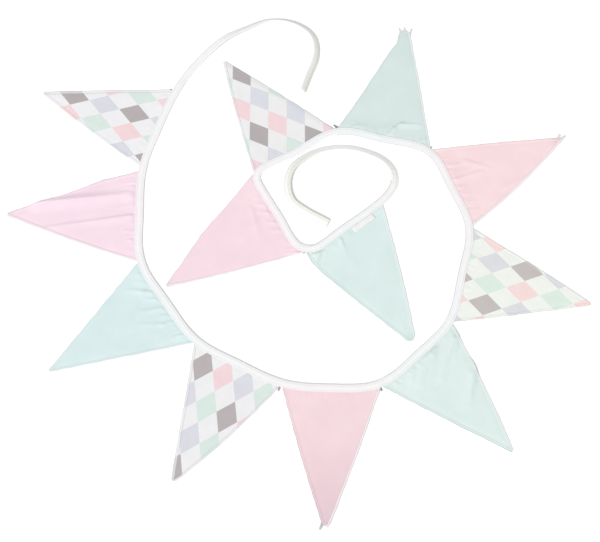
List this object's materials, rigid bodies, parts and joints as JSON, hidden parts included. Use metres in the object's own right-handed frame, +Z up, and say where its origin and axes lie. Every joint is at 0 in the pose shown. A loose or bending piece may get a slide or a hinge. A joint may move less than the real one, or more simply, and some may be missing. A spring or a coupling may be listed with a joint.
{
  "type": "fabric bunting",
  "caption": "String of cotton triangle pennants in a folded white tape, laid out in a loose spiral with both tie ends free.",
  "frame": {"origin": "middle of the laid-out bunting, on the surface it lies on", "axes": "+Z up off the surface, +X to the right and +Y away from the viewer in the pictured layout"},
  "size_m": [0.8976, 0.8238, 0.0111],
  "materials": {
    "tape_cotton": "white cotton tape, pressed in half and stitched along its open edge",
    "diamond_cotton": "off-white cotton printed with rows of grey, blue, pink and mint diamonds",
    "pink_cotton": "plain pale pink cotton",
    "aqua_cotton": "plain pale aqua cotton",
    "label_ribbon": "bare off-white woven ribbon"
  },
  "bodies": {
    "root": {"tape": "tape_cotton", "pennant_01_diamonds": "diamond_cotton", "pennant_02_pink": "pink_cotton", "pennant_03_aqua": "aqua_cotton", "pennant_04_diamonds": "diamond_cotton", "pennant_05_pink": "pink_cotton", "pennant_06_aqua": "aqua_cotton", "pennant_07_diamonds": "diamond_cotton", "pennant_08_pink": "pink_cotton", "pennant_09_aqua": "aqua_cotton", "pennant_10_diamonds": "diamond_cotton", "pennant_11_pink": "pink_cotton", "pennant_12_aqua": "aqua_cotton", "label": "label_ribbon"}
  },
  "joints": []
}
